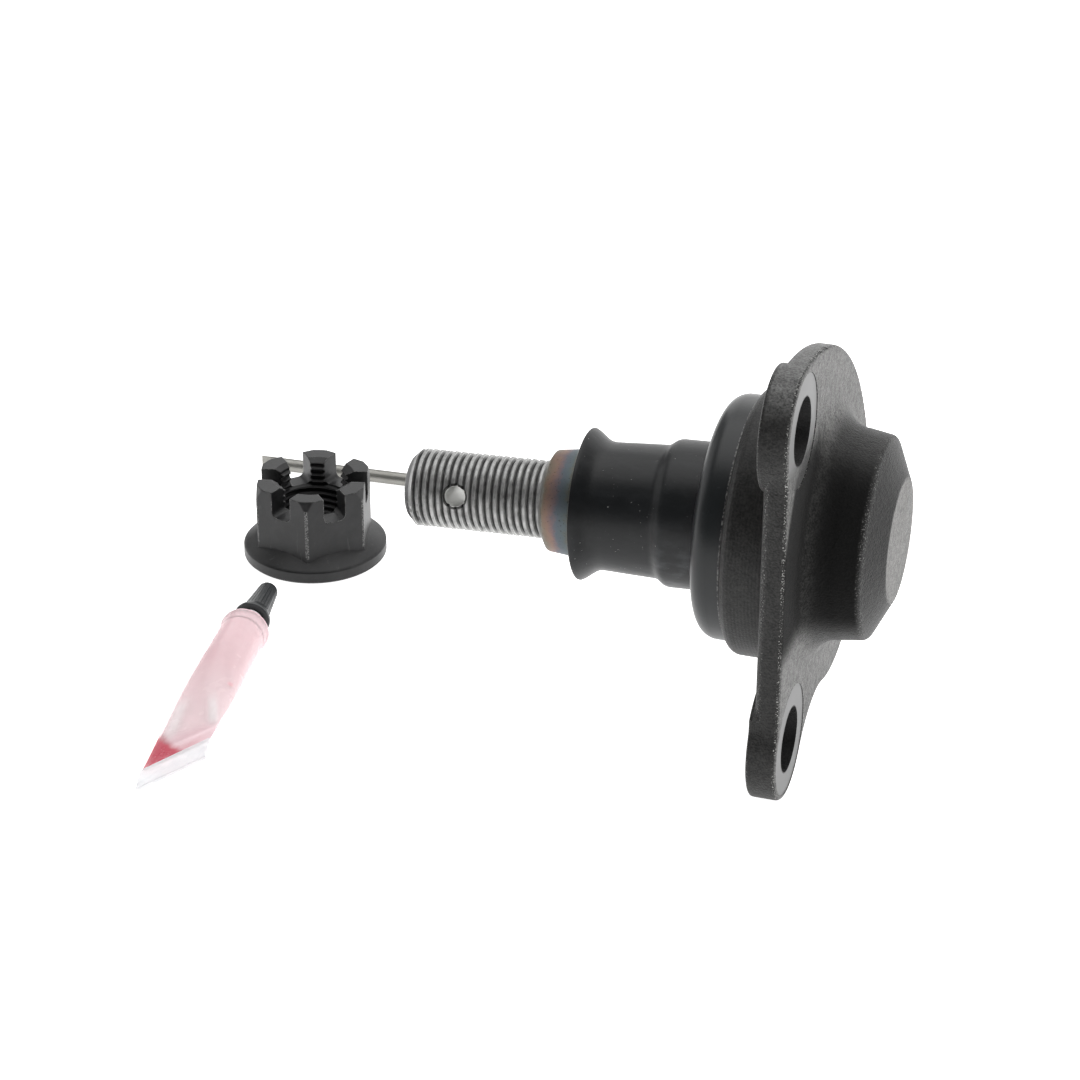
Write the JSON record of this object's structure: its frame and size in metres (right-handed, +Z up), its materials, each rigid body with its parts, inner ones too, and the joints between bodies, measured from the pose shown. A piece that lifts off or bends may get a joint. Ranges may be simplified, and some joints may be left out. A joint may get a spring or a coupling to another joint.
{
  "type": "suspension ball joint",
  "caption": "Flanged suspension ball joint with a threaded stud and rubber boot, its castle nut, cotter pin and tube of thread compound.",
  "frame": {"origin": "centre of the ball, on the housing axis, on the plane of the two mounting pads", "axes": "+X along the housing from the stud to the closed end, +Z up, the flange's two ears towards -Y; the stud rests a little off -X"},
  "size_m": [0.1681, 0.1466, 0.092],
  "materials": {
    "forged_iron": "dark oiled forging, lightly rough, worn paler on the edges",
    "bearing_liner": "smooth acetal",
    "plain_steel": "plain turned steel",
    "shroud_coat": "satin charcoal",
    "boot_rubber": "satin black",
    "stud_steel": "turned and threaded steel, heat tinted on the taper",
    "nut_phosphate": "dark phosphate, worn on the edges",
    "pin_steel": "dull grey wire",
    "tube_film": "thin clear film, pale pink over its contents",
    "tube_gel": "pink compound, darker towards the tail",
    "cap_plastic": "satin black, faintly ribbed"
  },
  "bodies": {
    "housing": {"housing": "forged_iron", "bearing_cup": "bearing_liner", "bearing_ring": "bearing_liner", "closing_ring": "plain_steel", "preload_spring": "plain_steel", "shroud": "shroud_coat", "boot_base": "boot_rubber"},
    "boot_mid": {"boot_fold": "boot_rubber"},
    "boot_end": {"boot_sleeve": "boot_rubber", "sleeve_insert": "plain_steel"},
    "ball_stud": {"ball_stud": "stud_steel"},
    "castle_nut": {"castle_nut": "nut_phosphate"},
    "cotter_pin": {"cotter_pin": "pin_steel"},
    "tube": {"tube_body": "tube_film", "tube_gel": "tube_gel", "tube_shoulder": "tube_film"},
    "tube_cap": {"tube_cap": "cap_plastic"}
  },
  "joints": [
    {"name": "stud_swing_up", "type": "hinge", "parent": "housing", "child": "boot_mid", "pos_m": [0, 0, 0], "axis": [0, 1, 0], "range_deg": [-16.36, 19.64], "deforming": ["boot_fold"]},
    {"name": "stud_swing_side", "type": "hinge", "parent": "boot_mid", "child": "boot_end", "pos_m": [0, 0, 0], "axis": [0, 0, 1], "range_deg": [-20.05, 15.95], "deforming": ["boot_sleeve"]},
    {"name": "stud_spin", "type": "hinge", "parent": "boot_end", "child": "ball_stud", "pos_m": [0, 0, 0], "axis": [-0.999, -0.0358, -0.0286], "continuous": true},
    {"name": "nut_lift", "type": "slide", "parent": "housing", "child": "castle_nut", "axis": [0, 0, 1], "range_m": [0, 0.08]},
    {"name": "pin_lift", "type": "slide", "parent": "housing", "child": "cotter_pin", "axis": [0, 0, 1], "range_m": [0, 0.08]},
    {"name": "tube_lift", "type": "slide", "parent": "housing", "child": "tube", "axis": [0, 0, 1], "range_m": [0, 0.08]},
    {"name": "cap_pull", "type": "slide", "parent": "tube", "child": "tube_cap", "axis": [-0.1063, 0.9943, 0], "range_m": [0, 0.01]}
  ]
}
